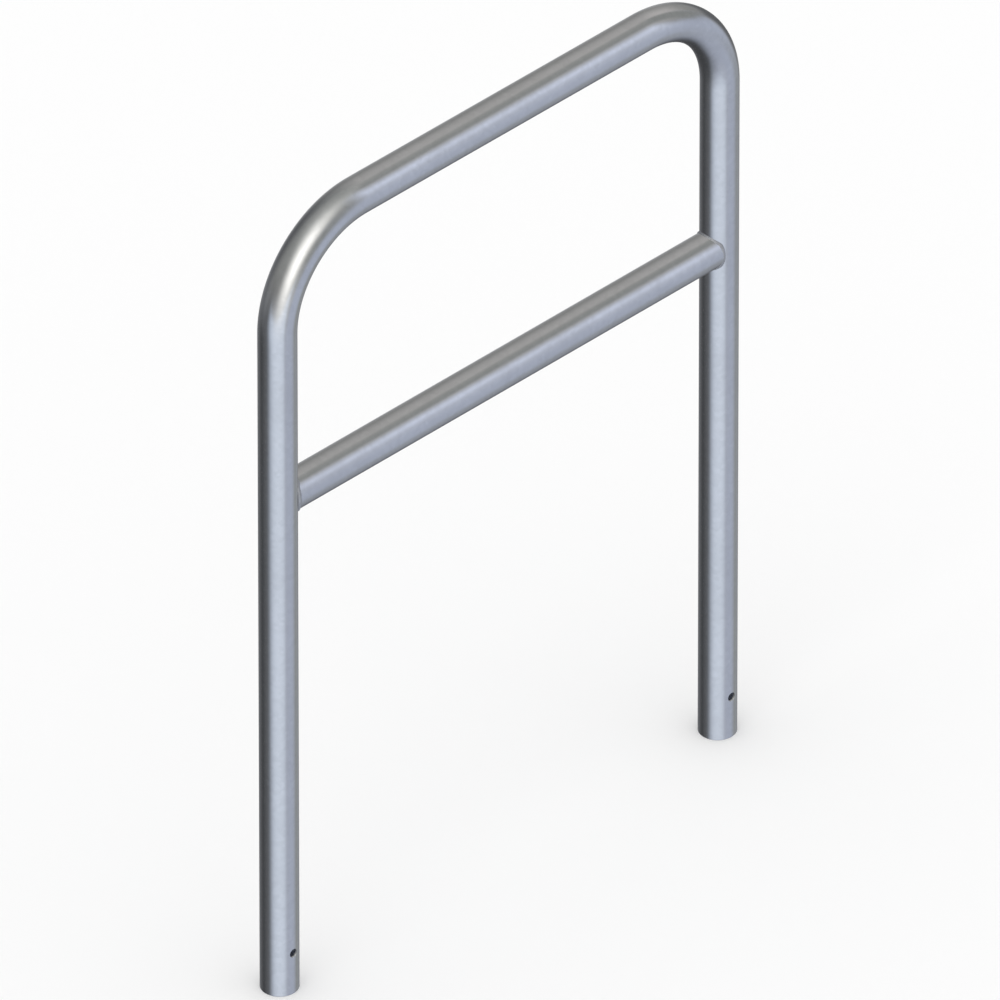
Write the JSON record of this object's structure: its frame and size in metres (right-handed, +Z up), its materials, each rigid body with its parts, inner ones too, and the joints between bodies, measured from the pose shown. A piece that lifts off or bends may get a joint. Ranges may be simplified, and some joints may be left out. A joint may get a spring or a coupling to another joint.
{
  "type": "steel hoop barrier",
  "caption": "Round-tube steel hoop with wide corner bends, a welded mid rail and open legs that are set in the ground.",
  "frame": {"origin": "midway between the two feet, on the plane of their square-cut ends", "axes": "+Z up the legs, +X across the hoop from the left leg to the right leg, +Y through the hoop"},
  "size_m": [1, 0.0628, 1.4],
  "materials": {
    "hoop_steel": "smooth bright zinc, low gloss blue-grey",
    "rail_steel": "smooth bright zinc, low gloss blue-grey",
    "weld_metal": "zinc over a rippled weld bead, satin"
  },
  "bodies": {
    "root": {"hoop_tube": "hoop_steel", "mid_rail": "rail_steel", "left_weld": "weld_metal", "right_weld": "weld_metal"}
  },
  "joints": []
}
